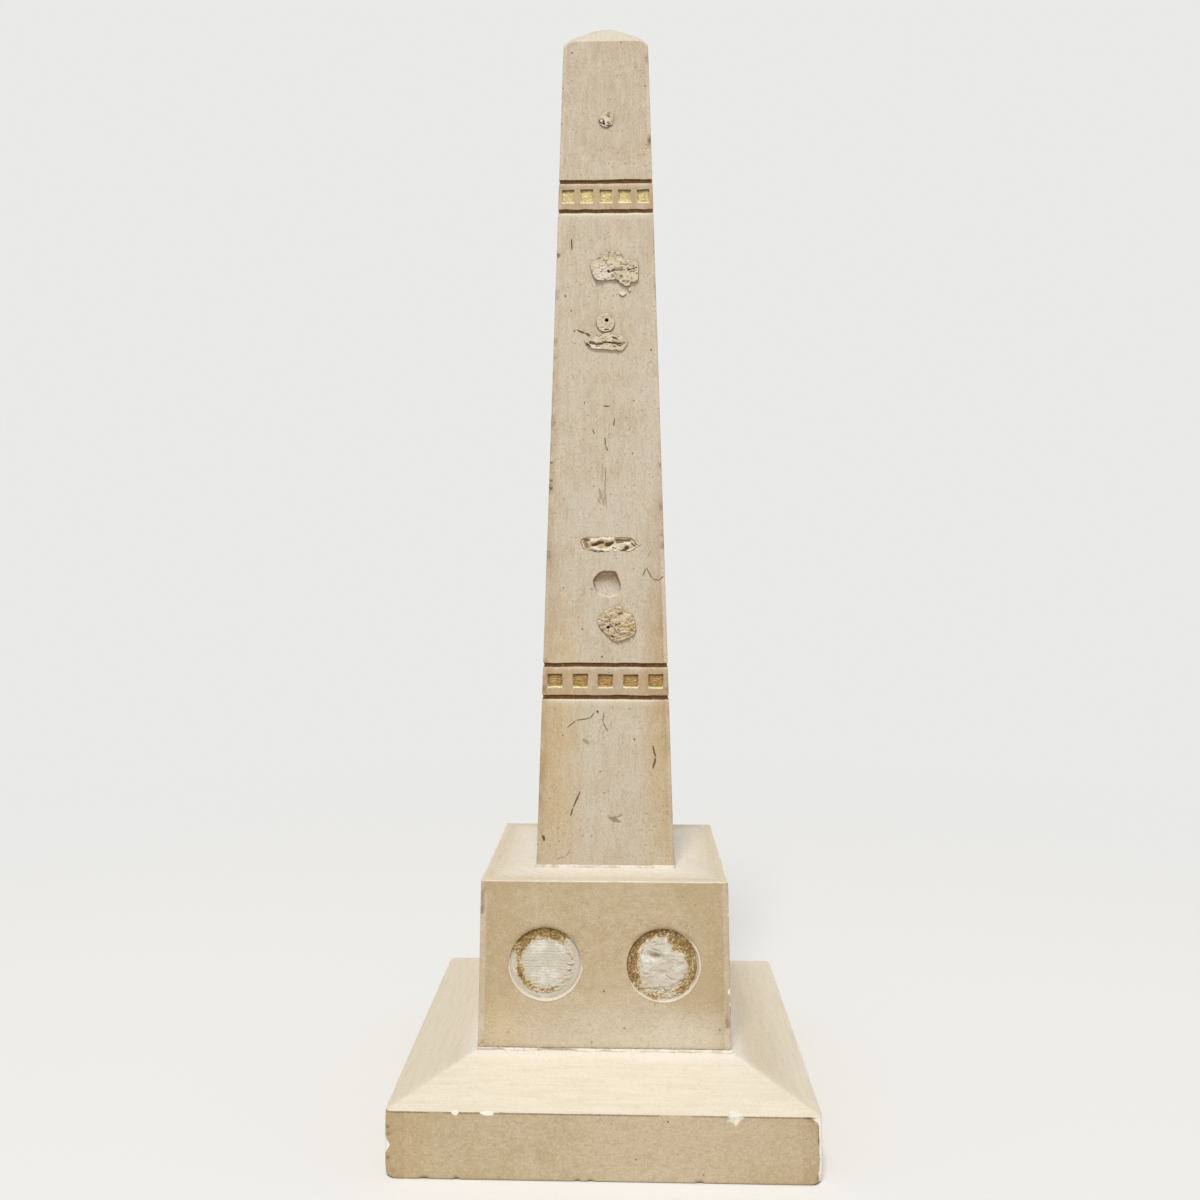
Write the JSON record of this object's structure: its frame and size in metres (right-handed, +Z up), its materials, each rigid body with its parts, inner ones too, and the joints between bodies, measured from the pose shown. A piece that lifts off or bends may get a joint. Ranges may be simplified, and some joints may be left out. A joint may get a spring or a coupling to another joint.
{
  "type": "table obelisk",
  "caption": "Small stone obelisk on a pedestal and hipped plinth, with bands of sunk gilt squares round the shaft and plaster left from lost ornaments.",
  "frame": {"origin": "centre of the plinth's underside, on the surface that it stands on", "axes": "+Z up along the shaft's axis; the front with the two roundels faces -Y; +X is to the right seen from the front"},
  "size_m": [0.14, 0.14, 0.4],
  "materials": {
    "stone": "matte",
    "bedding_plaster": "matte",
    "line_pigment": "matte",
    "gold_leaf": "satin",
    "roundel_plaster": "matte",
    "old_glue": "satin",
    "residue_plaster": "matte"
  },
  "bodies": {
    "root": {"plinth": "stone", "pedestal": "stone", "shaft": "stone", "pedestal_bed": "bedding_plaster", "shaft_bed": "bedding_plaster", "upper_band_top_line": "line_pigment", "upper_band_bottom_line": "line_pigment", "lower_band_top_line": "line_pigment", "lower_band_bottom_line": "line_pigment", "front_upper_gilding": "gold_leaf", "right_upper_gilding": "gold_leaf", "back_upper_gilding": "gold_leaf", "left_upper_gilding": "gold_leaf", "front_lower_gilding": "gold_leaf", "right_lower_gilding": "gold_leaf", "back_lower_gilding": "gold_leaf", "left_lower_gilding": "gold_leaf", "left_roundel_plaster": "roundel_plaster", "right_roundel_plaster": "roundel_plaster", "left_roundel_glue": "old_glue", "right_roundel_glue": "old_glue", "spot_residue": "residue_plaster", "flower_residue": "residue_plaster", "disc_residue": "residue_plaster", "bird_residue": "residue_plaster", "feather_residue": "residue_plaster", "round_residue": "residue_plaster"}
  },
  "joints": []
}
